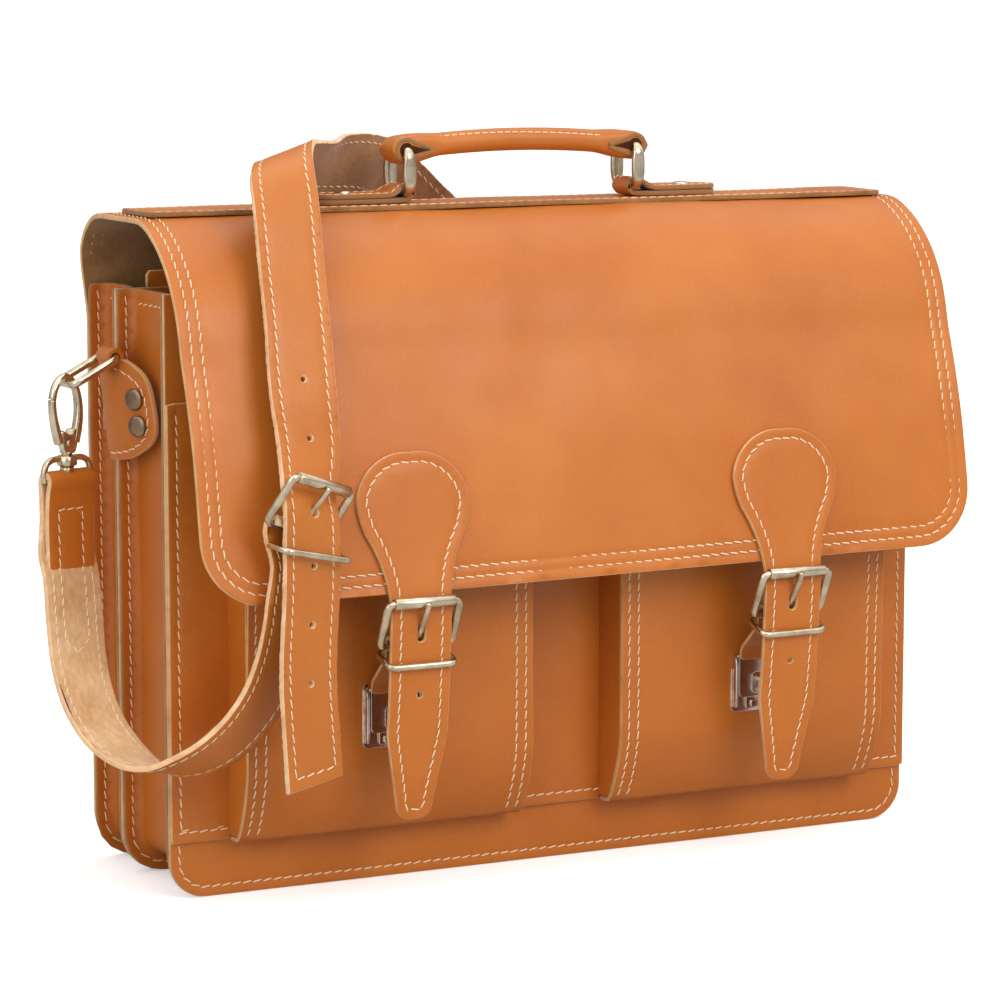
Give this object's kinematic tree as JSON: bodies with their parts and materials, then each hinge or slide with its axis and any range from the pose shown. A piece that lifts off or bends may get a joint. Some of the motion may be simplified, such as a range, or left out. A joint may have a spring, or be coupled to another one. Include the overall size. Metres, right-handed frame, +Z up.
{
  "type": "leather briefcase",
  "caption": "Classic leather school satchel with two compartments, two front pockets, a buckled full flap, a swinging top handle and a clip-on shoulder strap.",
  "frame": {"origin": "middle of the divider panel's bottom edge, on the surface the bag stands on", "axes": "+X to the viewer's right along the bag's width, +Y from front to back, +Z up"},
  "size_m": [0.5027, 0.1953, 0.3533],
  "materials": {
    "leather": "satin",
    "strap_leather": "satin",
    "antique_brass": "antique",
    "antique_nickel": "antique",
    "nickel": "polished",
    "core_cord": "matte"
  },
  "bodies": {
    "root": {"back_panel": "leather", "divider_panel": "leather", "front_panel": "leather", "front_pocket_panel": "leather", "gusset_front": "leather", "gusset_rear": "leather", "left_pocket_front": "leather", "left_pocket_gusset_left": "leather", "left_pocket_gusset_right": "leather", "lock_base_left": "nickel", "lock_rivets_left": "nickel", "side_tab_left": "leather", "side_tab_rivets_left": "antique_brass", "swivel_eye_left": "antique_brass", "right_pocket_front": "leather", "right_pocket_gusset_left": "leather", "right_pocket_gusset_right": "leather", "lock_base_right": "nickel", "lock_rivets_right": "nickel", "side_tab_right": "leather", "side_tab_rivets_right": "antique_brass", "swivel_eye_right": "antique_brass", "shoulder_strap_short": "strap_leather"},
    "flap": {"flap": "leather", "top_strip": "leather", "shoulder_strap_long": "strap_leather", "shoulder_buckle_frame": "antique_nickel", "handle_tab_left": "leather", "handle_stud_left": "antique_brass", "closure_strap_left": "strap_leather", "buckle_frame_left": "antique_nickel", "chape_left": "leather", "lock_tongue_left": "nickel", "handle_tab_right": "leather", "handle_stud_right": "antique_brass", "closure_strap_right": "strap_leather", "buckle_frame_right": "antique_nickel", "chape_right": "leather", "lock_tongue_right": "nickel"},
    "handle_ring_left": {"handle_ring_left": "antique_brass"},
    "handle_ring_right": {"handle_ring_right": "antique_brass"},
    "handle_grip": {"handle_grip": "leather", "handle_core": "core_cord"},
    "buckle_roller_left": {"buckle_roller_left": "antique_nickel"},
    "buckle_prong_left": {"buckle_prong_left": "antique_nickel"},
    "keeper_left": {"keeper_left": "antique_nickel"},
    "lock_catch_left": {"lock_catch_left": "nickel"},
    "side_ring_left": {"side_ring_left": "antique_brass"},
    "snap_hook_left": {"snap_hook_left": "antique_brass"},
    "snap_gate_left": {"snap_gate_left": "antique_brass"},
    "buckle_roller_right": {"buckle_roller_right": "antique_nickel"},
    "buckle_prong_right": {"buckle_prong_right": "antique_nickel"},
    "keeper_right": {"keeper_right": "antique_nickel"},
    "lock_catch_right": {"lock_catch_right": "nickel"},
    "side_ring_right": {"side_ring_right": "antique_brass"},
    "snap_hook_right": {"snap_hook_right": "antique_brass"},
    "snap_gate_right": {"snap_gate_right": "antique_brass"},
    "shoulder_buckle_roller": {"shoulder_buckle_roller": "antique_nickel"},
    "shoulder_buckle_prong": {"shoulder_buckle_prong": "antique_nickel"},
    "shoulder_buckle_keeper": {"shoulder_buckle_keeper": "antique_nickel"}
  },
  "joints": [
    {"name": "flap_hinge", "type": "hinge", "parent": "root", "child": "flap", "pos_m": [0, 0.0395, 0.29], "axis": [-1, 0, 0], "range_deg": [0, 150], "deforming": ["shoulder_strap_long", "shoulder_strap_short"]},
    {"name": "handle_swing_left", "type": "hinge", "parent": "flap", "child": "handle_ring_left", "pos_m": [-0.062, -0.022, 0.3239], "axis": [0, 1, 0], "range_deg": [-35, 35]},
    {"name": "handle_swing_right", "type": "hinge", "parent": "flap", "child": "handle_ring_right", "pos_m": [0.062, -0.022, 0.3239], "axis": [0, 1, 0], "range_deg": [-35, 35]},
    {"name": "handle_grip_pivot", "type": "hinge", "parent": "handle_ring_left", "child": "handle_grip", "pos_m": [-0.062, -0.022, 0.3443], "axis": [0, 1, 0], "range_deg": [-35, 35]},
    {"name": "roller_spin_left", "type": "hinge", "parent": "flap", "child": "buckle_roller_left", "pos_m": [-0.099, -0.12632, 0.14285], "axis": [1, 0, 0], "continuous": true},
    {"name": "prong_lift_left", "type": "hinge", "parent": "flap", "child": "buckle_prong_left", "pos_m": [-0.099, -0.1165, 0.1215], "axis": [1, 0, 0], "range_deg": [0, 8]},
    {"name": "keeper_slide_left", "type": "slide", "parent": "flap", "child": "keeper_left", "axis": [0, -0.0708, 0.9975], "range_m": [-0.0015, 0.001]},
    {"name": "lock_catch_slide_left", "type": "slide", "parent": "root", "child": "lock_catch_left", "axis": [0, 0, 1], "range_m": [-0.0015, 0], "stiffness_N_per_m": 200, "springref_m": 0.0005},
    {"name": "side_ring_swing_left", "type": "hinge", "parent": "root", "child": "side_ring_left", "pos_m": [-0.206, -0.009, 0.25], "axis": [0, 1, 0], "range_deg": [-8, 0]},
    {"name": "hook_swivel_left", "type": "hinge", "parent": "root", "child": "snap_hook_left", "pos_m": [-0.229, -0.011, 0.207], "axis": [0, 0, 1], "range_deg": [-20, 20]},
    {"name": "gate_hinge_left", "type": "hinge", "parent": "snap_hook_left", "child": "snap_gate_left", "pos_m": [-0.23666, -0.01364, 0.2132], "axis": [-0.3256, 0.9455, 0], "range_deg": [0, 20], "stiffness_Nm_per_rad": 0.01, "springref_deg": -5.73},
    {"name": "roller_spin_right", "type": "hinge", "parent": "flap", "child": "buckle_roller_right", "pos_m": [0.099, -0.12632, 0.14285], "axis": [1, 0, 0], "continuous": true},
    {"name": "prong_lift_right", "type": "hinge", "parent": "flap", "child": "buckle_prong_right", "pos_m": [0.099, -0.1165, 0.1215], "axis": [1, 0, 0], "range_deg": [0, 8]},
    {"name": "keeper_slide_right", "type": "slide", "parent": "flap", "child": "keeper_right", "axis": [0, -0.0708, 0.9975], "range_m": [-0.0015, 0.001]},
    {"name": "lock_catch_slide_right", "type": "slide", "parent": "root", "child": "lock_catch_right", "axis": [0, 0, 1], "range_m": [-0.0015, 0], "stiffness_N_per_m": 200, "springref_m": 0.0005},
    {"name": "side_ring_swing_right", "type": "hinge", "parent": "root", "child": "side_ring_right", "pos_m": [0.206, -0.009, 0.25], "axis": [0, 1, 0], "range_deg": [0, 8]},
    {"name": "hook_swivel_right", "type": "hinge", "parent": "root", "child": "snap_hook_right", "pos_m": [0.229, -0.011, 0.207], "axis": [0, 0, 1], "range_deg": [-20, 20]},
    {"name": "gate_hinge_right", "type": "hinge", "parent": "snap_hook_right", "child": "snap_gate_right", "pos_m": [0.23666, -0.01364, 0.2132], "axis": [-0.3256, -0.9455, 0], "range_deg": [0, 20], "stiffness_Nm_per_rad": 0.01, "springref_deg": -5.73},
    {"name": "shoulder_roller_spin", "type": "hinge", "parent": "flap", "child": "shoulder_buckle_roller", "pos_m": [-0.1533, -0.136, 0.2016], "axis": [0.895, 0.33, -0.3], "continuous": true},
    {"name": "shoulder_prong_lift", "type": "hinge", "parent": "flap", "child": "shoulder_buckle_prong", "pos_m": [-0.16354, -0.12743, 0.18046], "axis": [0.895, 0.33, -0.3], "range_deg": [0, 4]},
    {"name": "shoulder_keeper_slide", "type": "slide", "parent": "flap", "child": "shoulder_buckle_keeper", "axis": [0, 0, 1], "range_m": [-0.002, 0.001]}
  ],
  "couplings": [
    {"joint": "handle_swing_right", "follows": "handle_swing_left", "ratio": 1},
    {"joint": "handle_grip_pivot", "follows": "handle_swing_left", "ratio": -1}
  ]
}
